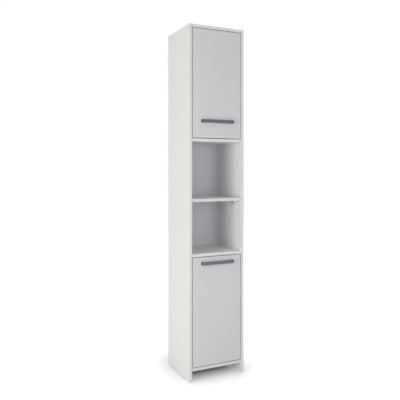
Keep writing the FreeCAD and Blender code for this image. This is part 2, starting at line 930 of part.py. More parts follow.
def floor_glides():
    """A plastic disc on a nail under each corner."""
    glides = []
    for middle_x in (left_inner - board / 2, right_inner + board / 2):
        for row in (cell("glide_inset"), cell("depth") - cell("glide_inset")):
            foot = (middle_x, front + row, 0)
            top = along(foot, "z", cell("glide_height"))
            glides.append(
                joined(
                    rod(foot, "z", cell("glide_radius"), cell("glide_height")),
                    rod(top, "z", cell("glide_nail_radius"), cell("glide_nail")),
                )
            )
    group("floor_glides", glides)


def wall_bracket():
    """An angle under the top panel, screwed up into it and back to the wall."""
    leg = cell("bracket_leg")
    metal = cell("bracket_metal")
    wide = cell("bracket_width")
    body = new_body("wall_bracket", (-wide / 2, front + back_face - leg, top_z - leg))
    plan = sketch_on(body, "YZ_Plane", 0)
    nil = as_size(0)
    polygon(
        plan,
        (
            (nil, leg - metal),
            (leg - metal, leg - metal),
            (leg - metal, nil),
            (leg, nil),
            (leg, leg),
            (nil, leg),
        ),
    )
    pad(body, plan, wide)
    hole = [(wide / 2, wall_bore_z - top_z + leg, cell("wall_bore"))]
    drill(body, "XZ_Plane", leg - metal, True, metal, hole)
    holes = [
        (wide / 2 + side * wide / 4, leg / 2, cell("wood_screw_radius")) for side in (-1, 1)
    ]
    drill(body, "XY_Plane", leg - metal, True, metal, holes)
    head_height = 1.8
    screws = []
    for side in (-1, 1):
        spot = (side * wide / 4, front + back_face - leg / 2, top_z - metal)
        screws.append(
            joined(
                rod(spot, "z", cell("wood_screw_radius"), cell("wood_screw_length")),
                rod(spot, "-z", cell("wood_screw_head"), head_height),
            )
        )
    group("wall_bracket_screws", screws)


# -------------------------------------------------------------- assembly

side_panel("left_side_panel", True)
side_panel("right_side_panel", False)
fixed_boards()
back_panel()
knock_down_fittings()
floor_glides()
wall_bracket()

SHELVES = (
    ("lower", lower_floor, cell("hidden_shelf_setback")),
    ("niche", niche_floor, cell("niche_shelf_setback")),
    ("upper", upper_floor, cell("hidden_shelf_setback")),
)
for name, floor, setback in SHELVES:
    loose_shelf(f"{name}_shelf", floor, setback)
    shelf_supports(f"{name}_shelf_supports", floor)

frame_hinges()
catches()
for name, bottom, tall, handle_rise in DOORS:
    door(f"{name}_door", bottom, tall, handle_rise)
    door_hinges(name, bottom, tall)
    handle(f"{name}_door_handle", bottom + handle_rise)
    handle_screws(f"{name}_handle_screws", bottom + handle_rise)
    strike_plate(name, bottom, tall)

doc.recompute()

# --------------------------------------------------------- check and write

for thing in doc.Objects:
    if "Invalid" in thing.State or "Error" in thing.State:
        raise RuntimeError(f"{thing.Label} ({thing.Name}) failed: {thing.State}")

os.makedirs("parts", exist_ok=True)
for node in nodes:
    if node.Shape.isNull() or not node.Shape.isValid():
        raise RuntimeError(f"{node.Label} has no valid shape")
    node.Shape.exportStep(f"parts/{node.Label}.step")
    size = node.Shape.BoundBox
    print(
        f"{node.Label}: {len(node.Shape.Solids)} solids, {node.Shape.Volume / 1000:.1f} cm3,"
        f" z {size.ZMin:.1f} to {size.ZMax:.1f}"
    )
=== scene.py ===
# %% [markdown]
# # A tall bathroom cabinet, dressed for the camera
#
# The cabinet is white laminated chipboard: two long side panels that run down to the
# floor, two inset doors with dark bar handles, and an open niche between them. Every
# board, hinge leaf and screw arrives already at its real place and size. This script
# gives each of them its finish, puts finer pieces in the place of most plain ones,
# and sets up a white studio. All lengths are in metres.

# %% Load the cabinet
import json
import math

import bmesh
import bpy
from mathutils import Matrix, Vector

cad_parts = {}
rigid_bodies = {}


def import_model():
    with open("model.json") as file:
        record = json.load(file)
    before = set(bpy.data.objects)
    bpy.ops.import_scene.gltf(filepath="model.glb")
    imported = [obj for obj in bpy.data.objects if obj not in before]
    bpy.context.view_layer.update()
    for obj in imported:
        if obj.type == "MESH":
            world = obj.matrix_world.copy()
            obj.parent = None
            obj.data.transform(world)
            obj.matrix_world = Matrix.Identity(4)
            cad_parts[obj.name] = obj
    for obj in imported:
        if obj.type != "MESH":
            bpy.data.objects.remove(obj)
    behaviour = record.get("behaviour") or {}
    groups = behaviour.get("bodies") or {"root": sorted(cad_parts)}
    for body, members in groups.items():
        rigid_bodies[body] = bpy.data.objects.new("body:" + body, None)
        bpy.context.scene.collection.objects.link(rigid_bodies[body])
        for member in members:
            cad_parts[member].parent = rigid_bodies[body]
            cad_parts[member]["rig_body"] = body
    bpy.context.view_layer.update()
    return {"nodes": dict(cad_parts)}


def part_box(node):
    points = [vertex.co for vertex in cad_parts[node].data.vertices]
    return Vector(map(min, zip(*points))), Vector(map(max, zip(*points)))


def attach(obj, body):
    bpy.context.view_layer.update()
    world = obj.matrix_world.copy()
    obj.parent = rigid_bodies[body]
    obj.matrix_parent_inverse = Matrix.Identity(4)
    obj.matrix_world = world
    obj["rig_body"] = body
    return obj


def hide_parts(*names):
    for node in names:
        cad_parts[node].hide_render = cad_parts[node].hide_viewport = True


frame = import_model()
MM = 0.001
X, Y, Z = range(3)

left_low, left_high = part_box("left_side_panel")
right_low, right_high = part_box("right_side_panel")
width = right_high.x - left_low.x
depth = left_high.y - left_low.y
height = left_high.z
print(f"cabinet {width:.3f} wide, {depth:.3f} deep, {height:.3f} tall")

# %% [markdown]
# ## The camera
#
# The photograph looks at the cabinet from its left, a little above its middle, with
# the verticals upright. A level camera keeps them upright, and a small downward shift
# frames the foot, as an architect's camera does. The place and the lens come from
# matching the real corners of the boards with their places in the picture.

# %% Place the camera
CAMERA_FROM_CORNER = Vector((-1.1115, -2.4689, 1.1281))  # from the front left foot
CAMERA_TURN = math.radians(25.395)
PHOTO_SIDE = 400  # pixels
FOCAL_PIXELS = 512.78
HORIZON_ROW = 169.31
MIDDLE_COLUMN = 199.75
SENSOR = 36.0  # millimetres, as a camera's lens and sensor always are
FAR_CLIP = 50.0

camera_data = bpy.data.cameras.new("camera")
camera_data.sensor_width = SENSOR
camera_data.lens = FOCAL_PIXELS / PHOTO_SIDE * SENSOR
camera_data.shift_y = (HORIZON_ROW - PHOTO_SIDE / 2) / PHOTO_SIDE
camera_data.shift_x = (PHOTO_SIDE / 2 - MIDDLE_COLUMN) / PHOTO_SIDE
camera_data.clip_end = FAR_CLIP
camera = bpy.data.objects.new("camera", camera_data)
camera.location = Vector((left_low.x, left_low.y, 0)) + CAMERA_FROM_CORNER
camera.rotation_euler = (math.pi / 2, 0, -CAMERA_TURN)
bpy.context.scene.collection.objects.link(camera)
bpy.context.scene.camera = camera
camera_place = tuple(round(length, 3) for length in camera.location)
print(f"lens {camera_data.lens:.1f} mm at {camera_place}")

# %% [markdown]
# ## Writing shader maths as sums
#
# A material is a small network of nodes. Adding a Math node by hand for every plus
# and minus buries the idea, so a wire here is a socket that knows how to be added,
# multiplied or compared: the expression is the documentation.


# %% A wire that can be added and multiplied
class Wire:
    """One output socket, usable in arithmetic."""

    def __init__(self, network, socket):
        self.network = network
        self.socket = socket

    def math(self, operation, first, second=0.0):
        node = self.network.node(
            "ShaderNodeMath", {"operation": operation}, {0: first, 1: second}
        )
        return Wire(self.network, node.outputs[0])

    def __add__(self, other):
        return self.math("ADD", self, other)

    def __sub__(self, other):
        return self.math("SUBTRACT", self, other)

    def __rsub__(self, other):
        return self.math("SUBTRACT", other, self)

    def __mul__(self, other):
        return self.math("MULTIPLY", self, other)

    def __lt__(self, other):
        return self.math("LESS_THAN", self, other)

    def __gt__(self, other):
        return self.math("GREATER_THAN", self, other)

    __radd__ = __add__
    __rmul__ = __mul__

    def least(self, other):
        return self.math("MINIMUM", self, other)

    def most(self, other):
        return self.math("MAXIMUM", self, other)

    def size(self):
        return self.math("ABSOLUTE", self)

    def power(self, other):
        return self.math("POWER", self, other)

    def exponent(self):
        return self.math("EXPONENT", self)


knows = [name for name in vars(Wire) if not name.startswith("_")]
print(f"a wire can be added, multiplied and compared, and has {', '.join(knows)}")

# %% [markdown]
# ## A network of nodes
#
# A material and the world are both networks of nodes. Each node could be added, set up
# and linked by hand, in three or four lines. One method that does all of it keeps the
# finishes below short. A finish is laid out by its piece's own Object coordinates, so
# it stays on a door or shelf that moves. The world has only directions, which
# Blender calls Generated.


# %% One method for any node
class Network:
    """The nodes of one material or world, and the coordinates that they start from."""

    def __init__(self, name, of_world=False):
        self.material = (bpy.data.worlds if of_world else bpy.data.materials).new(name)
        self.material.use_nodes = True
        self.tree = self.material.node_tree
        self.tree.nodes.clear()
        start = "Generated" if of_world else "Object"
        self.coordinates = self.node("ShaderNodeTexCoord").outputs[start]

    def node(self, kind, settings=None, inputs=None):
        """A node with its settings made and values or links in its sockets."""
        made = self.tree.nodes.new(kind)
        for name, value in (settings or {}).items():
            setattr(made, name, value)
        for key, value in (inputs or {}).items():
            socket = made.inputs[key]
            if isinstance(value, Wire):
                value = value.socket
            if isinstance(value, bpy.types.NodeSocket):
                self.tree.links.new(value, socket)
            else:
                socket.default_value = value
        return made

    def place(self):
        """The point's own coordinates as three wires."""
        split = self.node("ShaderNodeSeparateXYZ", inputs={0: self.coordinates})
        return [Wire(self, split.outputs[axis]) for axis in (X, Y, Z)]

    def ray_is(self, *kinds):
        """1 for the rays of these kinds, 0 for all others."""
        path = self.node("ShaderNodeLightPath")
        seen = Wire(self, path.outputs[f"Is {kinds[0]} Ray"])
        for kind in kinds[1:]:
            seen = seen.most(Wire(self, path.outputs[f"Is {kind} Ray"]))
        return seen

    def blend(self, factor, first, second):
        """The first colour where the factor is 0 and the second where it is 1."""
        mix = self.node(
            "ShaderNodeMix",
            {"data_type": "RGBA"},
            {"Factor": factor, 6: first, 7: second},
        )
        return mix.outputs[2]


def rgb(red, green, blue):
    return (red, green, blue, 1.0)


print(f"{len(frame['nodes'])} pieces wait for a finish")

# %% [markdown]
# ## What a finish is made of
#
# Board, steel, zinc, plastic and wood all differ in the same three ways: a cloudy
# change of colour, a gloss that is not quite even, and a relief too fine to model.
# Noise drives all three here, at the scale of the real thing, since a painted image
# would stretch over some faces and blur in a close view.


# %% Clouds, relief and the shader
class Finish(Network):
    """One finish: noise for its variation, a relief and a shader."""

    def noise(self, scale, detail=2.0, rough=0.5, stretch=(1, 1, 1)):
        """Cloudy variation from 0 to 1, its features about 1 / scale metres wide."""
        squeezed = self.node(
            "ShaderNodeMapping", {}, {"Vector": self.coordinates, "Scale": stretch}
        )
        cloud = self.node(
            "ShaderNodeTexNoise",
            {},
            {
                "Vector": squeezed.outputs[0],
                "Scale": scale,
                "Detail": detail,
                "Roughness": rough,
            },
        )
        return Wire(self, cloud.outputs[0])

    def bump(self, height, depth):
        """A relief whose height runs over so many metres."""
        made = self.node("ShaderNodeBump", {}, {"Height": height, "Distance": depth})
        return made.outputs[0]

    def surface(self, uniform, varying):
        """The shader itself: one value for some sockets, wires for the others."""
        shader = self.node("ShaderNodeBsdfPrincipled", {}, {**uniform, **varying})
        self.node("ShaderNodeOutputMaterial", {}, {"Surface": shader.outputs[0]})
        return self.material


has = [name for name in vars(Finish) if not name.startswith("_")]
print(f"a finish has {', '.join(has)}")

# %% [markdown]
# ## Bare chipboard
#
# Where nothing covers it, as at the rear edges, in the back groove and inside a bore,
# the brown core of a board is bare. Its pressed chips are flat flakes, each of one
# shade. Voronoi cells are such flakes, and they cut off as sharply as chips do, which
# noise alone would not.

# %% Bare chipboard
CORE_LIGHT = rgb(0.56, 0.42, 0.27)
CORE_DARK = rgb(0.33, 0.22, 0.13)
CHIPS_PER_METRE = 420.0
CHIP_SHARE = 0.7
DUST_SHARE = 0.3


def chip_core(finish):
    """Colour and shade of the bare core: pale chips among dark ones."""
    chips = finish.node(
        "ShaderNodeTexVoronoi",
        {},
        {"Vector": finish.coordinates, "Scale": CHIPS_PER_METRE},
    )
    tint = chips.outputs["Color"]
    parts = finish.node("ShaderNodeSeparateColor", {}, {"Color": tint})
    shade = Wire(finish, parts.outputs["Red"]) * CHIP_SHARE
    shade = shade + finish.noise(scale=900.0) * DUST_SHARE
    return finish.blend(shade, CORE_DARK, CORE_LIGHT), shade


print(f"chips about {1000 / CHIPS_PER_METRE:.1f} mm wide")

# %% [markdown]
# ## Laminated board
#
# Melamine paper covers the two broad faces of a chipboard core, and a plastic band
# closes the edges that show. Each face could get its own material, but a point of the
# board knows which it is from its distance to the broad faces and the banded edges, so
# one material serves every face of a board, bores and grooves as well. The melamine has
# a faint orange-peel relief that only breaks up its reflections, and a hair-thin joint
# line runs beside each band.

# %% Laminated board
JOINT_LINE = rgb(0.56, 0.555, 0.54)
JOINT_STRENGTH = 0.4
SKIN = 0.25 * MM
BAND = 0.9 * MM
LINE = 0.09 * MM
CLOUD_SHADE = 0.985  # the darker parts of the paper, against the lighter
PAPER_ROUGHNESS = 0.36
PEEL_ROUGHNESS = 0.08
CORE_ROUGHNESS = 0.92
CHIP_RELIEF = 6.0  # against the orange peel's
PEEL_DEPTH = 0.02 * MM


def laminated_board(name, thickness_axis, low, high, bands, sheet, band):
    """bands: (axis, place, +1 where the band lies above the place, -1 below)."""
    finish = Finish(name)
    place = finish.place()
    across = place[thickness_axis]
    skin = (across - low).least(high - across) < SKIN
    banded = skin * 0
    joint = None
    for axis, edge, side in bands:
        inside = (place[axis] - edge) * -side
        banded = banded.most(inside < BAND)
        line = (inside - BAND).size() < LINE / 2
        joint = line if joint is None else joint.most(line)
    banded = banded * (1 - skin)
    covered = skin.most(banded)
    core, chips = chip_core(finish)
    cloud = finish.noise(scale=3.0, detail=3.0)
    peel = finish.noise(scale=1100.0, detail=1.0)
    shaded = rgb(*(part * CLOUD_SHADE for part in sheet[:3]))
    paper = finish.blend(banded, finish.blend(cloud, sheet, shaded), band)
    lined = finish.blend(joint * JOINT_STRENGTH, paper, JOINT_LINE)
    smooth = PAPER_ROUGHNESS + peel * PEEL_ROUGHNESS
    relief = peel * covered + chips * (1 - covered) * CHIP_RELIEF
    return finish.surface(
        {"Specular IOR Level": 0.45},
        {
            "Base Color": finish.blend(covered, core, lined),
            "Roughness": covered * (smooth - CORE_ROUGHNESS) + CORE_ROUGHNESS,
            "Normal": finish.bump(relief, PEEL_DEPTH),
        },
    )


print(f"paper {SKIN / MM:.2f} mm, band {BAND / MM:.1f} mm, joint {LINE / MM:.2f} mm")

# %% [markdown]
# Each board says which of its edges are banded. The side panels show their front and
# top edges, the boards between them only their front edge, a loose shelf its ends as
# well, and a door shows all four. The whites differ a little, as they do in the
# photograph: the side panels' bands are a shade darker than the other boards', and the
# shelves' and the bottom's bands darker still, as painted shade on their front edges.
# The doors' bands are grey, as painted shade that keeps the gaps round the doors dark.

# %% Give every board its material
CARCASS_WHITE = rgb(0.80, 0.80, 0.795)
CARCASS_BAND = rgb(0.85, 0.85, 0.85)
PANEL_BAND = rgb(0.82, 0.82, 0.825)
# painted shade: a darker band on the front edges of the shelves and the bottom panel
SHELF_BAND_PAINTED_SHADE = rgb(0.79, 0.79, 0.79)
DOOR_WHITE = rgb(0.74, 0.74, 0.757)
# painted shade: a grey band on the doors' edges darkens the gaps round them
DOOR_BAND_PAINTED_GAP_SHADE = rgb(0.44, 0.445, 0.455)
FRONT = (Y, -1)  # the axis that an edge faces along, and which way
TOP, UNDER = (Z, 1), (Z, -1)
LEFT, RIGHT = (X, -1), (X, 1)
boards = {}


def dress(node, material):
    """Puts one material on a piece that arrived with the frame."""
    mesh = frame["nodes"][node].data
    mesh.materials.clear()
    mesh.materials.append(material)
    for face in mesh.polygons:
        face.material_index = 0


def dress_board(node, thickness_axis, banded, sheet=CARCASS_WHITE, band=CARCASS_BAND):
    """Laminates one board, and keeps which way it lies for the bevels further down."""
    low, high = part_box(node)
    bands = []
    for axis, side in banded:
        bands.append((axis, (high if side > 0 else low)[axis], side))
    boards[node] = (thickness_axis, banded)
    thick = (low[thickness_axis], high[thickness_axis])
    name = f"{node}_laminate"
    dress(node, laminated_board(name, thickness_axis, *thick, bands, sheet, band))


for node in ("left_side_panel", "right_side_panel"):
    dress_board(node, X, (FRONT, TOP), band=PANEL_BAND)
for node in ("top_panel", "upper_divider", "lower_divider"):
    dress_board(node, Z, (FRONT,))
dress_board("bottom_panel", Z, (FRONT,), band=SHELF_BAND_PAINTED_SHADE)
for node in ("upper_shelf", "niche_shelf", "lower_shelf"):
    dress_board(node, Z, (FRONT, LEFT, RIGHT), band=SHELF_BAND_PAINTED_SHADE)
for node in ("upper_door", "lower_door"):
    dress_board(node, Y, (LEFT, RIGHT, UNDER, TOP), DOOR_WHITE, DOOR_BAND_PAINTED_GAP_SHADE)
print(f"{len(boards)} boards laminated: {', '.join(boards)}")

# %% [markdown]
# ## The back
#
# The back is thin hardboard. Its inner face is lacquered white, tinted a touch blue as
# painted cool shade, and its outer face is left raw: brown, with the mat of pressed
# fibres showing as short streaks. Two materials would do, but a point only has to ask
# on which side of the panel's middle it lies, so one is enough. Fine fibres and coarser
# bundles are two noises, squeezed so that they run up the panel.

# %% Hardboard back
FIBRE_DARK = rgb(0.19, 0.11, 0.06)
FIBRE_LIGHT = rgb(0.40, 0.265, 0.155)
BLOTCH_BROWN = rgb(0.25, 0.155, 0.09)
# painted cool shade: both lacquer whites carry a blue tint
LACQUER_LIGHT_PAINTED_COOL_SHADE = rgb(0.77, 0.782, 0.815)
LACQUER_DARK_PAINTED_COOL_SHADE = rgb(0.75, 0.762, 0.795)
FINE_SHARE = 0.45
COARSE_SHARE = 0.55
MAT_DARKEST = 0.32  # the noise that counts as darkest, and how steeply it rises
MAT_CONTRAST = 2.6
BLOTCH_SHARE = 0.5
LACQUER_ROUGHNESS = 0.45
RAW_ROUGHER = 0.35
LACQUER_RELIEF = 0.4  # against the fibres'
FIBRE_DEPTH = 0.05 * MM


def hardboard_back():
    finish = Finish("hardboard_back")
    _, deep, _ = finish.place()
    low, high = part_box("back_panel")
    raw = deep > (low.y + high.y) / 2
    fibres = finish.noise(scale=700.0, detail=4.0, rough=0.7, stretch=(1, 1, 0.35))
    bundles = finish.noise(scale=130.0, detail=4.0, rough=0.65, stretch=(1, 1, 0.4))
    blotches = finish.noise(scale=9.0, detail=3.0)
    mixed = fibres * FINE_SHARE + bundles * COARSE_SHARE
    matted = (mixed - MAT_DARKEST) * MAT_CONTRAST
    brown = finish.blend(matted, FIBRE_DARK, FIBRE_LIGHT)
    aged = finish.blend(blotches * BLOTCH_SHARE, brown, BLOTCH_BROWN)
    lacquer_with_cool_shade = finish.blend(blotches, LACQUER_LIGHT_PAINTED_COOL_SHADE, LACQUER_DARK_PAINTED_COOL_SHADE)
    peel = finish.noise(scale=1300.0, detail=1.0)
    relief = peel * (1 - raw) * LACQUER_RELIEF + fibres * raw
    return finish.surface(
        {"Specular IOR Level": 0.4},
        {
            "Base Color": finish.blend(raw, lacquer_with_cool_shade, aged),
            "Roughness": LACQUER_ROUGHNESS + raw * RAW_ROUGHER,
            "Normal": finish.bump(relief, FIBRE_DEPTH),
        },
    )


def report(*materials):
    for material in materials:
        print(f"{material.name}: {len(material.node_tree.nodes)} nodes")


back_board = hardboard_back()
dress("back_panel", back_board)
report(back_board)

# %% [markdown]
# ## Metals
#
# Brushed metal has scratches all one way. Noise squeezed along that way gives both
# its streaked gloss and its tiny grooves. An anisotropic shader would stretch the
# highlights too, but nothing here is large enough to show it. Plated screws and pins
# and the cast locks have no direction, only a slightly cloudy gloss.

# %% Brushed and plated metal
STREAK_ROUGHNESS = 0.14
SMUDGE_ROUGHNESS = 0.06
SCRATCH_DEPTH = 0.012 * MM
CLOUD_ROUGHNESS = 0.12
GRAIN_DEPTH = 0.006 * MM


def brushed(name, dark, light, roughness, stretch):
    finish = Finish(name)
    streaks = finish.noise(scale=2400.0, detail=3.0, rough=0.6, stretch=stretch)
    smudge = finish.noise(scale=14.0, detail=2.0)
    streaked = roughness + streaks * STREAK_ROUGHNESS
    return finish.surface(
        {"Metallic": 1.0},
        {
            "Base Color": finish.blend(streaks, dark, light),
            "Roughness": streaked + smudge * SMUDGE_ROUGHNESS,
            "Normal": finish.bump(streaks, SCRATCH_DEPTH),
        },
    )


def plated(name, dark, light, roughness):
    finish = Finish(name)
    cloud = finish.noise(scale=160.0, detail=3.0)
    grain = finish.noise(scale=3000.0, detail=1.0)
    return finish.surface(
        {"Metallic": 1.0},
        {
            "Base Color": finish.blend(cloud, dark, light),
            "Roughness": roughness + cloud * CLOUD_ROUGHNESS,
            "Normal": finish.bump(grain, GRAIN_DEPTH),
        },
    )


print(f"scratches {SCRATCH_DEPTH / MM:.3f} mm deep, grain {GRAIN_DEPTH / MM:.3f} mm")

# %% [markdown]
# The handles are a dark grey metal whose scratches run along the bar. The sheet steel
# of leaves, plates and bracket is paler and brushed the same way. Screws and pins are
# bright zinc plate, the shelf supports a duller nickel, and the cam locks are cast.

# %% The cabinet's metals
handle_metal = brushed(
    "handle_metal",
    dark=rgb(0.112, 0.122, 0.136),
    light=rgb(0.158, 0.168, 0.184),
    roughness=0.30,
    stretch=(0.03, 1, 1),
)
leaf_steel = brushed(
    "leaf_steel",
    dark=rgb(0.50, 0.50, 0.51),
    light=rgb(0.66, 0.66, 0.67),
    roughness=0.26,
    stretch=(0.05, 1, 1),
)
screw_steel = plated(
    "screw_steel", rgb(0.52, 0.52, 0.54), rgb(0.68, 0.68, 0.69), roughness=0.24
)
support_nickel = plated(
    "support_nickel", rgb(0.28, 0.28, 0.275), rgb(0.36, 0.36, 0.35), roughness=0.34
)
cast_zinc = plated(
    "cast_zinc", rgb(0.42, 0.42, 0.43), rgb(0.52, 0.52, 0.53), roughness=0.42
)
report(handle_metal, leaf_steel, screw_steel, support_nickel, cast_zinc)

# %% [markdown]
# ## Plastic and magnets
#
# The small plastic pieces are moulded with a fine matt grain. The magnets are dull
# sintered ferrite, grey-black with paler specks. Specks could be cells of their own,
# but raising noise to a power leaves only its few highest spots, which is what the
# specks are.

# %% Plastic and magnets
PLASTIC_LIGHT = rgb(0.78, 0.78, 0.775)
PLASTIC_DARK = rgb(0.74, 0.74, 0.735)
FERRITE_BLACK = rgb(0.035, 0.035, 0.038)
FERRITE_SPECK = rgb(0.20, 0.20, 0.20)
SPECKS_FEWER = 3.0
PLASTIC_ROUGHNESS = 0.42
MOULD_ROUGHNESS = 0.16
MOULD_DEPTH = 0.02 * MM
FERRITE_ROUGHNESS = 0.62
SINTER_ROUGHNESS = 0.2
SINTER_DEPTH = 0.03 * MM


def moulded_plastic():
    finish = Finish("moulded_plastic")
    grain = finish.noise(scale=2200.0, detail=2.0)
    cloud = finish.noise(scale=40.0)
    return finish.surface(
        {"Specular IOR Level": 0.5},
        {
            "Base Color": finish.blend(cloud, PLASTIC_DARK, PLASTIC_LIGHT),
            "Roughness": PLASTIC_ROUGHNESS + grain * MOULD_ROUGHNESS,
            "Normal": finish.bump(grain, MOULD_DEPTH),
        },
    )


def ferrite():
    finish = Finish("ferrite")
    specks = finish.noise(scale=2600.0, detail=3.0, rough=0.7)
    sparse = specks.power(SPECKS_FEWER)
    return finish.surface(
        {"Specular IOR Level": 0.35},
        {
            "Base Color": finish.blend(sparse, FERRITE_BLACK, FERRITE_SPECK),
            "Roughness": FERRITE_ROUGHNESS + specks * SINTER_ROUGHNESS,
            "Normal": finish.bump(specks, SINTER_DEPTH),
        },
    )


white_plastic = moulded_plastic()
magnet_black = ferrite()
report(white_plastic, magnet_black)

# %% [markdown]
# ## Beech dowels
#
# A dowel is turned from beech, whose short dark flecks lie along the grain. The
# dowels point across the cabinet, so both noises are drawn out along X: a broad one
# for the grain and a fine one, raised to a power, for the flecks.

# %% Beech dowels
BEECH_LIGHT = rgb(0.72, 0.54, 0.35)
BEECH_DARK = rgb(0.60, 0.42, 0.25)
FLECK_BROWN = rgb(0.34, 0.20, 0.10)
FLECKS_FEWER = 4.0
BEECH_ROUGHNESS = 0.6
GRAIN_ROUGHNESS = 0.15
PORE_DEPTH = 0.03 * MM


def beech():
    finish = Finish("beech")
    grain = finish.noise(scale=260.0, detail=3.0, rough=0.5, stretch=(0.12, 1, 1))
    fine = finish.noise(scale=1500.0, detail=2.0, rough=0.6, stretch=(0.15, 1, 1))
    flecks = fine.power(FLECKS_FEWER)
    wood = finish.blend(grain, BEECH_DARK, BEECH_LIGHT)
    return finish.surface(
        {"Specular IOR Level": 0.3},
        {
            "Base Color": finish.blend(flecks, wood, FLECK_BROWN),
            "Roughness": BEECH_ROUGHNESS + grain * GRAIN_ROUGHNESS,
            "Normal": finish.bump(grain, PORE_DEPTH),
        },
    )


dowel_wood = beech()
report(dowel_wood)

# %% [markdown]
# ## Finishes of the fittings
#
# Each fitting now takes its finish: plates and hinge leaves are brushed, pins and cam
# bolts are plated, the cam locks are cast. The screws, shelf supports and handles get
# theirs further down, where they are modelled again.

# %% Give the fittings their materials
WORN_BY = (
    (white_plastic, ("floor_glides", "catch_housings", "hinge_washers")),
    (leaf_steel, ("hinge_frame_leaves", "wall_bracket")),
    (leaf_steel, ("upper_door_hinge_leaves", "lower_door_hinge_leaves")),
    (leaf_steel, ("upper_strike_plate", "lower_strike_plate")),
    (screw_steel, ("cam_bolts", "hinge_pins")),
    (cast_zinc, ("cam_locks",)),
    (magnet_black, ("catch_magnets",)),
    (dowel_wood, ("wooden_dowels",)),
)
for material, nodes in WORN_BY:
    for node in nodes:
        dress(node, material)
    print(f"{material.name}: {', '.join(nodes)}")

# %% [markdown]
# ## Outline, extrude, bevel
#
# Handles and shelf supports start from a flat outline that is extruded and bevelled,
# as bar and sheet are cut and then have their edges broken. A cube could be pushed
# into shape instead, but an outline reads like a drawing. The round faces are
# remembered, because their rims get shaded crisply later.

# %% Outline, extrude, bevel
ROUNDED = "rounded"
SHARP = math.radians(30)


def extruded(corners, way):
    """A solid from a flat outline and the vector that it is pulled along."""
    shape = bmesh.new()
    shape.faces.layers.int.new(ROUNDED)
    ring = [shape.verts.new(corner) for corner in corners]
    face = shape.faces.new(ring)
    pulled = bmesh.ops.extrude_face_region(shape, geom=[face])
    moved = [part for part in pulled["geom"] if isinstance(part, bmesh.types.BMVert)]
    bmesh.ops.translate(shape, verts=moved, vec=way)
    bmesh.ops.recalc_face_normals(shape, faces=shape.faces)
    return shape


def bevelled(shape, edges, radius, segments):
    """Rounds edges, and remembers the round faces, whose rims stay crisp."""
    made = bmesh.ops.bevel(
        shape,
        geom=edges,
        offset=radius,
        offset_type="OFFSET",
        segments=segments,
        profile=0.5,
        affect="EDGES",
        material=-1,
    )
    rounded = shape.faces.layers.int[ROUNDED]
    for face in made["faces"]:
        face[rounded] = 1
    return shape


def sharp_edges(shape):
    return [edge for edge in shape.edges if edge.calc_face_angle(0) > SHARP]


print(f"an edge counts as sharp past {math.degrees(SHARP):.0f} degrees")

# %% [markdown]
# ## Handing a piece over
#
# A new piece has to stand exactly for the plain one: it rides on the same body, takes
# the same finish and hides what it replaces. Its faces are shaded smooth across curves
# and crisp at corners. Smoothing by angle alone would smear light over the flat face
# next to a small rounding, so the rim of each rounding is kept crisp as well.

# %% Shade a piece and let it take its place
SMOOTH_UP_TO = math.radians(33)


def shade(shape):
    """Smooth across curves, crisp at corners and where a rounding meets a flat face."""
    rounded = shape.faces.layers.int.get(ROUNDED)
    for face in shape.faces:
        face.smooth = True
    for edge in shape.edges:
        crisp = edge.calc_face_angle(0) > SMOOTH_UP_TO
        if rounded and sum(face[rounded] for face in edge.link_faces) == 1:
            crisp = True
        edge.smooth = not crisp
    if rounded:
        shape.faces.layers.int.remove(rounded)


def finished(shape, name, material, node):
    """Makes the object, lets it ride where the plain piece rode and takes its place."""
    mesh = bpy.data.meshes.new(name)
    bmesh.ops.recalc_face_normals(shape, faces=shape.faces)
    shade(shape)
    shape.to_mesh(mesh)
    shape.free()
    mesh.materials.append(material)
    piece = bpy.data.objects.new(name, mesh)
    bpy.context.scene.collection.objects.link(piece)
    body = frame["nodes"][node]["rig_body"]
    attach(piece, body)
    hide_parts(node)
    return piece


# %% [markdown]
# ## Softened edges
#
# No real board or plate ends in a razor edge. The plastic band of a board is scraped
# round, sheet steel is tumbled and a moulding leaves its mould with small radii, and
# all of these draw a thin bright line. A copy of the plain piece has its doubled points
# merged and its coplanar triangles dissolved into whole faces. Then only the wanted
# edges are bevelled: on a board, the ones between a banded edge and another visible
# side, so that the places where boards meet stay tight.

# %% Soften the edges of a piece
SAME_POINT = 0.001 * MM
FLAT = math.radians(0.5)
EDGE_STEPS = 3


def merged_copy(node):
    shape = bmesh.new()
    shape.from_mesh(frame["nodes"][node].data)
    shape.faces.layers.int.new(ROUNDED)
    bmesh.ops.remove_doubles(shape, verts=shape.verts, dist=SAME_POINT)
    bmesh.ops.dissolve_limit(
        shape,
        angle_limit=FLAT,
        verts=shape.verts,
        edges=shape.edges,
        use_dissolve_boundaries=False,
    )
    return shape


def soften(node, radius, wanted):
    """Replaces a plain piece by a copy whose wanted outer edges are rounded."""
    shape = merged_copy(node)
    edges = [edge for edge in shape.edges if edge.is_convex and wanted(edge)]
    bevelled(shape, edges, radius, EDGE_STEPS)
    bmesh.ops.remove_doubles(shape, verts=shape.verts, dist=SAME_POINT)
    count = len(shape.faces)
    material = frame["nodes"][node].data.materials[0]
    finished(shape, f"{node}_softened", material, node)
    print(f"{node}: {len(edges)} edges softened, {count} faces")


print(f"each edge is rounded in {EDGE_STEPS} steps")

# %% [markdown]
# The boards get a radius of half a millimetre, about what scraping leaves. An edge
# belongs to two of its board's sides, and it is rounded only if both are visible ones.

# %% Soften the boards
BOARD_EDGE = 0.5 * MM
CORNER = math.radians(50)
ON_A_SIDE = 0.01 * MM


def box_sides(edge, low, high):
    """The sides of its box that an edge lies in, each as an axis and -1 or +1."""
    sides = set()
    for axis in (X, Y, Z):
        for end, side in ((low, -1), (high, 1)):
            if all(abs(vert.co[axis] - end[axis]) < ON_A_SIDE for vert in edge.verts):
                sides.add((axis, side))
    return sides


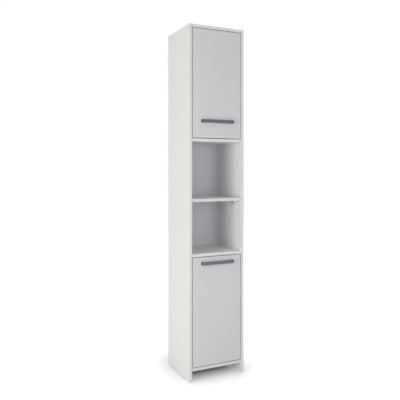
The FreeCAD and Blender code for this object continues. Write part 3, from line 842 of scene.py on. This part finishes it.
def soften_board(node, thickness_axis, banded):
    low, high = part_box(node)
    visible = {(thickness_axis, -1), (thickness_axis, 1), *banded}

    def wanted(edge):
        sides = box_sides(edge, low, high)
        return len(sides & visible) == 2 and edge.calc_face_angle(0) > CORNER

    soften(node, BOARD_EDGE, wanted)


for node, (thickness_axis, banded) in boards.items():
    soften_board(node, thickness_axis, banded)

# %% [markdown]
# The small pieces get smaller radii, least on thin steel and most on the moulded catch
# housings, and every outer corner of theirs counts, round rims as well.

# %% Soften the small pieces
SMALL_EDGES = (
    (
        0.25 * MM,
        ("hinge_frame_leaves", "upper_door_hinge_leaves", "lower_door_hinge_leaves"),
    ),
    (0.25 * MM, ("upper_strike_plate", "lower_strike_plate", "cam_locks")),
    (0.4 * MM, ("wall_bracket", "catch_magnets", "floor_glides", "wooden_dowels")),
    (0.6 * MM, ("catch_housings",)),
)
for radius, nodes in SMALL_EDGES:
    for node in nodes:
        soften(node, radius, lambda edge: edge.calc_face_angle(0) > CORNER)

# %% [markdown]
# ## Finding the separate solids of a piece
#
# Identical screws arrive together as one node. Their places could be typed in, but
# walking from point to point along the edges separates them again, and then nothing
# has to be kept in step with the cabinet's measures.


# %% Separate solids
def loose_solids(node):
    """The points of each separate solid of a node, in a steady order."""
    shape = bmesh.new()
    shape.from_mesh(frame["nodes"][node].data)
    bmesh.ops.remove_doubles(shape, verts=shape.verts, dist=SAME_POINT)
    shape.verts.ensure_lookup_table()
    seen = [False] * len(shape.verts)
    solids = []
    for start in shape.verts:
        if seen[start.index]:
            continue
        seen[start.index] = True
        reached = [start]
        for vert in reached:
            for edge in vert.link_edges:
                other = edge.other_vert(vert)
                if not seen[other.index]:
                    seen[other.index] = True
                    reached.append(other)
        solids.append([vert.co.copy() for vert in reached])
    shape.free()
    return solids


def limits(points):
    low = Vector([min(point[axis] for point in points) for axis in (X, Y, Z)])
    high = Vector([max(point[axis] for point in points) for axis in (X, Y, Z)])
    return low, high


for node in ("cam_bolts", "catch_screws", "niche_shelf_supports"):
    print(f"{node}: {len(loose_solids(node))} solids")

# %% [markdown]
# ## Where a screw lies
#
# A plain screw is a stack of round stations along its longest axis. The wider end is
# its head, and the station where it narrows says how high the head is. A countersunk
# head narrows at once, so there the first step down is the height of its cone.

# %% Measure a plain screw
STATION_DIGITS = 6  # stations are told apart to a micrometre
THINNEST_HEAD = 0.01 * MM


class Screw:
    """Where one plain screw lies: its head's middle, its way in, and its outline."""

    def __init__(self, points):
        low, high = limits(points)
        size = high - low
        self.axis = max((X, Y, Z), key=lambda axis: size[axis])
        self.length = size[self.axis]
        middle = (low + high) / 2
        stations = {}
        for point in points:
            off = (point - middle).copy()
            off[self.axis] = 0
            level = round(point[self.axis], STATION_DIGITS)
            stations[level] = max(stations.get(level, 0), off.length)
        levels = sorted(stations)
        head_low = stations[levels[0]] > stations[levels[-1]]
        self.way_in = Vector((0, 0, 0))
        self.way_in[self.axis] = 1 if head_low else -1
        self.head = middle.copy()
        self.head[self.axis] = low[self.axis] if head_low else high[self.axis]
        ordered = levels if head_low else levels[::-1]
        start = ordered[0]
        self.head_radius = stations[start]
        self.shank_radius = stations[ordered[-1]]
        half_way = (self.head_radius + self.shank_radius) / 2
        wide = [abs(level - start) for level in ordered if stations[level] > half_way]
        self.head_height = max(wide)
        self.sunk = self.head_height < THINNEST_HEAD
        if self.sunk:
            self.head_height = abs(ordered[1] - start)

    def to_place(self):
        """Turns and moves a screw drawn with its head up at the origin."""
        turn = (-self.way_in).to_track_quat("Z", "Y").to_matrix().to_4x4()
        return Matrix.Translation(self.head) @ turn


plain = Screw(loose_solids("catch_screws")[0])
print(
    f"a catch screw is {plain.length / MM:.1f} mm long, "
    f"its head {2 * plain.head_radius / MM:.1f} mm wide"
)

# %% [markdown]
# ## Screws with a cross recess
#
# Most of a screw is hidden, but a driver has to find its cross. The head's flat top is
# a ring filled between the rim and a cross. The cross is then pushed down and
# narrowed, which makes the tapered recess. Cutting a cross out of a finished head with
# a boolean would leave ragged faces around it.

# %% The cross, and a ring pulled down
CROSS_ARM = 0.62  # of the radius that the cross is drawn for
CROSS_WIDTH = 0.17
QUARTERS = 4


def cross_outline(shape, radius):
    arm = radius * CROSS_ARM
    half = radius * CROSS_WIDTH
    quarter = ((arm, -half), (arm, half), (half, half))
    ring = []
    for turn in range(QUARTERS):
        spin = Matrix.Rotation(turn * math.tau / QUARTERS, 3, "Z")
        for across, up in quarter:
            ring.append(shape.verts.new(spin @ Vector((across, up, 0))))
    ends = zip(ring, ring[1:] + ring[:1])
    return [shape.edges.new(pair) for pair in ends]


def pulled_down(shape, edges, drop, scale):
    """Extrudes a ring of edges downwards and scales the new ring about the axis."""
    made = bmesh.ops.extrude_edge_only(shape, edges=edges)["geom"]
    verts = [part for part in made if isinstance(part, bmesh.types.BMVert)]
    bmesh.ops.scale(shape, verts=verts, vec=(scale, scale, 1))
    bmesh.ops.translate(shape, verts=verts, vec=(0, 0, -drop))
    new = [part for part in made if isinstance(part, bmesh.types.BMEdge)]
    return [edge for edge in new if all(vert in verts for vert in edge.verts)]


print(f"a cross reaches over {CROSS_ARM:.0%} of the radius")

# %% [markdown]
# The rim is pulled down in steps for the cone of a countersunk head or the dome of a
# pan head, and on into the shank and its tip. A spun outline would give the same sides,
# but then the top with its cross would have to be sewn on.

# %% Draw one screw
RIM_SIDES = 28
RECESS_DEPTH = 0.5  # of the head's radius
RECESS_FLOOR = 0.55  # of the recess's mouth
DOME_CROSS = 0.8  # of the head's radius, as the next two are
DOME_TOP = 0.62
DOME_SHOULDER = 0.84
DOME_DROPS = (0.18, 0.27, 0.55)  # of the dome's height
TIP_LENGTH = 1.2  # of the shank's radius, as the next one is
TIP_RADIUS = 0.25


def screw_shape(screw):
    shape = bmesh.new()
    to_shank = screw.shank_radius / screw.head_radius
    if screw.sunk:
        top_radius = cross_radius = screw.head_radius
        steps = [(screw.head_height, to_shank)]
    else:
        top_radius = screw.head_radius * DOME_TOP
        cross_radius = screw.head_radius * DOME_CROSS
        scales = (DOME_SHOULDER / DOME_TOP, 1 / DOME_SHOULDER, 1.0)
        steps = [
            (screw.head_height * drop, scale)
            for drop, scale in zip(DOME_DROPS, scales)
        ]
        steps.append((0, to_shank))
    tip = screw.shank_radius * TIP_LENGTH
    shank = screw.length - screw.head_height - tip
    steps += [(shank, 1.0), (tip, TIP_RADIUS)]

    bmesh.ops.create_circle(shape, segments=RIM_SIDES, radius=top_radius)
    rim_edges = list(shape.edges)
    cross = cross_outline(shape, cross_radius)
    bmesh.ops.triangle_fill(shape, edges=rim_edges + cross, use_beauty=True)
    recess = screw.head_radius * RECESS_DEPTH
    floor_edges = pulled_down(shape, cross, recess, RECESS_FLOOR)
    bmesh.ops.contextual_create(shape, geom=floor_edges)
    ring = rim_edges
    for drop, scale in steps:
        ring = pulled_down(shape, ring, drop, scale)
    bmesh.ops.contextual_create(shape, geom=ring)
    bmesh.ops.transform(shape, matrix=screw.to_place(), verts=shape.verts)
    return shape


trial = screw_shape(plain)
print(f"a catch screw has {len(trial.faces)} faces")
trial.free()

# %% [markdown]
# Every screw of the cabinet is drawn this way, at the place, length and widths of the
# plain one. The screws of one node stay together as one piece, as they arrived.


# %% Redraw all the screws
def added(shape, other):
    """Joins a second mesh into the first."""
    holder = bpy.data.meshes.new("holder")
    other.to_mesh(holder)
    other.free()
    shape.from_mesh(holder)
    bpy.data.meshes.remove(holder)
    return shape


def remodel_screws(node):
    whole = bmesh.new()
    solids = loose_solids(node)
    for points in solids:
        whole = added(whole, screw_shape(Screw(points)))
    finished(whole, f"{node}_with_recess", screw_steel, node)
    print(f"{node}: {len(solids)} screws")


for node in (
    "hinge_frame_screws",
    "upper_door_hinge_screws",
    "lower_door_hinge_screws",
    "catch_screws",
    "upper_strike_screw",
    "lower_strike_screw",
    "wall_bracket_screws",
    "upper_handle_screws",
    "lower_handle_screws",
):
    remodel_screws(node)

# %% [markdown]
# ## Bar handles
#
# Each handle is one flat dark bar with a leg at each end. Seen from below, its front
# and its underside reflect different things, so the crisp rounded edge between them
# matters more than any texture. The outline is drawn from above, pulled to the bar's
# height and bevelled: large at the outer corners, small everywhere else.

# %% Bar handles
HANDLE_LEG = 9.0 * MM
HANDLE_BAR = 6.0 * MM
HANDLE_CORNER = 1.6 * MM
HANDLE_EDGE = 1.5 * MM
CORNER_STEPS = 5


def bar_handle(node):
    low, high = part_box(node)
    leg_left = low.x + HANDLE_LEG
    leg_right = high.x - HANDLE_LEG
    back = low.y + HANDLE_BAR
    outline = (
        (low.x, low.y),
        (high.x, low.y),
        (high.x, high.y),
        (leg_right, high.y),
        (leg_right, back),
        (leg_left, back),
        (leg_left, high.y),
        (low.x, high.y),
    )
    shape = extruded([(x, y, low.z) for x, y in outline], (0, 0, high.z - low.z))

    def lies_at(edge, y):
        return all(abs(vert.co.y - y) < SAME_POINT for vert in edge.verts)

    def upright(edge):
        first, second = edge.verts
        return abs(first.co.x - second.co.x) < SAME_POINT

    corners = [edge for edge in shape.edges if lies_at(edge, low.y) and upright(edge)]
    bevelled(shape, corners, HANDLE_CORNER, CORNER_STEPS)
    rims = [edge for edge in sharp_edges(shape) if not lies_at(edge, high.y)]
    bevelled(shape, rims, HANDLE_EDGE, EDGE_STEPS)
    return finished(shape, f"{node}_bar", handle_metal, node)


for node in ("upper_door_handle", "lower_door_handle"):
    handle = bar_handle(node)
    print(f"{handle.name}: {len(handle.data.polygons)} faces")

# %% [markdown]
# ## Shelf supports
#
# A support is a pin with a bent plate. Bending a flat strip with a modifier would need
# many faces for two plain ones, so the plate's outline is drawn from the front as an
# L, pulled to the plate's width and rounded, and the pin is a short rod.

# %% The pin of a shelf support
PIN_SIDES = 24
PAST_WALL = 1 * MM


def pin_limits(points, wall):
    """Limits of the part of a support that lies inside the side panel."""
    deepest = abs(wall) + PAST_WALL
    return limits([point for point in points if abs(point.x) > deepest])


def pin_shape(points, wall, tip, middle_y):
    """A rod from the panel's face to the pin's tip."""
    low, high = pin_limits(points, wall)
    radius = (high.z - low.z) / 2
    rod = bmesh.new()
    bmesh.ops.create_cone(
        rod,
        cap_ends=True,
        segments=PIN_SIDES,
        radius1=radius,
        radius2=radius,
        depth=abs(wall - tip),
    )
    turn = Matrix.Rotation(math.pi / 2, 4, "Y")
    middle = Vector(((wall + tip) / 2, middle_y, (low.z + high.z) / 2))
    placed = Matrix.Translation(middle) @ turn
    bmesh.ops.transform(rod, matrix=placed, verts=rod.verts)
    return rod


print(f"a pin has {PIN_SIDES} sides")

# %% [markdown]
# A support on the left wall and one on the right are mirror images. The outline only
# has to know which wall it stands on, so nothing needs turning round afterwards.

# %% The plate of a shelf support
SUPPORT_METAL = 2.0 * MM
SUPPORT_EDGE = 0.35 * MM
SUPPORT_STEPS = 2


def support_shape(points):
    low, high = limits(points)
    on_left = low.x < 0
    wall = left_high.x if on_left else right_low.x
    plate = wall + (SUPPORT_METAL if on_left else -SUPPORT_METAL)
    reach = high.x if on_left else low.x
    tip = low.x if on_left else high.x
    under = high.z - SUPPORT_METAL
    outline = (
        (wall, low.z),
        (plate, low.z),
        (plate, under),
        (reach, under),
        (reach, high.z),
        (wall, high.z),
    )
    shape = extruded([(x, low.y, z) for x, z in outline], (0, high.y - low.y, 0))
    bevelled(shape, sharp_edges(shape), SUPPORT_EDGE, SUPPORT_STEPS)
    return added(shape, pin_shape(points, wall, tip, (low.y + high.y) / 2))


print(f"a support is bent from {SUPPORT_METAL / MM:.0f} mm steel")

# %% [markdown]
# Each shelf rests on four of them. They belong to the side panels, so they stay behind
# when a shelf is lifted.

# %% Redraw all the supports
for node in ("upper_shelf_supports", "niche_shelf_supports", "lower_shelf_supports"):
    supports = bmesh.new()
    for points in loose_solids(node):
        supports = added(supports, support_shape(points))
    bent = finished(supports, f"{node}_bent", support_nickel, node)
    print(f"{bent.name}: {len(bent.data.polygons)} faces")

# %% [markdown]
# ## The studio
#
# The photograph has a pure white ground with a soft shadow under the cabinet. More
# light would bleach the cabinet, so the white is only what is seen and lights nothing:
# the world shows plain white to the camera, and the floor adds a glow for the camera
# and for mirror images. The glow fades out towards the cabinet along an outline set for
# each side, so the shadow there is partly real and partly painted shadow.

# %% White ground
FLOOR_HALF = 6.0
FLOOR_GREY = rgb(0.66, 0.66, 0.66)
BLACK = rgb(0, 0, 0)
WHITE = rgb(1, 1, 1)
GLOW = 0.85
GLOW_REACH = 0.19
# painted shadow: where the glow starts on each side sets the outline of the floor's
# shadow
SHADE_LEFT = 0.085  # the shadow's edges: so far from the middle on each side
SHADE_RIGHT = 0.11
SHADE_FRONT = 0.028
SHADE_REAR = 0.08
RIGHT_STEEPER = 1.5


def floor_material():
    finish = Finish("studio_floor")
    right, deep, _ = finish.place()
    past_right = (right - SHADE_RIGHT) * RIGHT_STEEPER
    past_side = ((-1 * right) - SHADE_LEFT).most(past_right).most(0.0)
    past_end = ((-1 * deep) - SHADE_FRONT).most(deep - SHADE_REAR).most(0.0)
    away = (past_side.power(2.0) + past_end.power(2.0)).power(0.5)
    risen = 1 - (away * (-1 / GLOW_REACH)).exponent()
    seen = finish.ray_is("Camera", "Glossy", "Transmission")
    glow = finish.blend(seen * risen * GLOW, BLACK, WHITE)
    matt = {"Base Color": FLOOR_GREY, "Roughness": 1.0, "Specular IOR Level": 0.0}
    return finish.surface({**matt, "Emission Strength": 1.0}, {"Emission Color": glow})


ground = bmesh.new()
bmesh.ops.create_grid(ground, x_segments=1, y_segments=1, size=FLOOR_HALF)
floor_mesh = bpy.data.meshes.new("studio_floor")
ground.to_mesh(floor_mesh)
ground.free()
floor_mesh.materials.append(floor_material())
floor = bpy.data.objects.new("studio_floor", floor_mesh)
bpy.context.scene.collection.objects.link(floor)
print(f"floor {2 * FLOOR_HALF:.0f} m square")

# %% [markdown]
# ## Light from all round
#
# The world lights the cabinet from all round, a touch cool and a little stronger from
# above. Metal reflects another world: a white one round the horizon, like the ground,
# that darkens towards the ceiling, because a bar handle with the same white on every
# side would look flat.

# %% Light from all round
AMBIENT = 0.41
AMBIENT_ABOVE = 0.60
ABOVE_NARROWER = 4.0
AMBIENT_COLOUR = rgb(0.93, 0.96, 1.0)
CEILING_DARKER = 0.6
CEILING_WIDER = 0.5


def studio_world():
    finish = Network("studio_world", of_world=True)
    _, _, up = finish.place()
    above = up.most(0.0)
    seen = finish.ray_is("Camera", "Transmission")
    mirrored = finish.ray_is("Glossy")
    lit = above.power(ABOVE_NARROWER) * AMBIENT_ABOVE + AMBIENT
    reflected = 1 - above.power(CEILING_WIDER) * CEILING_DARKER
    strength = (mirrored * reflected + (1 - mirrored) * lit) * (1 - seen) + seen
    colour = finish.blend(seen.most(mirrored), AMBIENT_COLOUR, WHITE)
    back = finish.node(
        "ShaderNodeBackground", {}, {"Color": colour, "Strength": strength}
    )
    finish.node("ShaderNodeOutputWorld", {}, {"Surface": back.outputs[0]})
    return finish.material


bpy.context.scene.world = studio_world()
report(bpy.context.scene.world)

# %% [markdown]
# ## Lamps
#
# A large soft lamp far to the left adds the warmer light that makes the side panel
# brighter than the doors, and it also reaches into the niche and fades along its right
# wall. A weak white one in front lifts the doors. Both are large squares, because a
# point or a sun would draw a hard shadow that the photograph does not have.


# %% Lamps
def soft_lamp(name, place, aim, side, watts, colour):
    data = bpy.data.lights.new(name, "AREA")
    data.shape = "SQUARE"
    data.size = side
    data.energy = watts
    data.color = colour
    lamp = bpy.data.objects.new(name, data)
    lamp.location = place
    way = Vector(aim) - Vector(place)
    lamp.rotation_euler = way.to_track_quat("-Z", "Y").to_euler()
    bpy.context.scene.collection.objects.link(lamp)
    print(f"{name}: {watts:.1f} W, {side:.1f} m square")


cabinet_middle = (0, 0, height / 2)
soft_lamp(
    "left_lamp",
    place=(-3.9, -1.75, 1.05),
    aim=cabinet_middle,
    side=1.8,
    watts=89,
    colour=(1.0, 0.965, 0.88),
)
soft_lamp(
    "front_lamp",
    place=(0.1, -2.4, 1.1),
    aim=cabinet_middle,
    side=1.0,
    watts=7.3,
    colour=(1.0, 1.0, 1.0),
)

# %% [markdown]
# ## Colours as written
#
# The colours are shown as they are written, so no film curve is used.

# %% Finish
bpy.context.scene.view_settings.view_transform = "Standard"
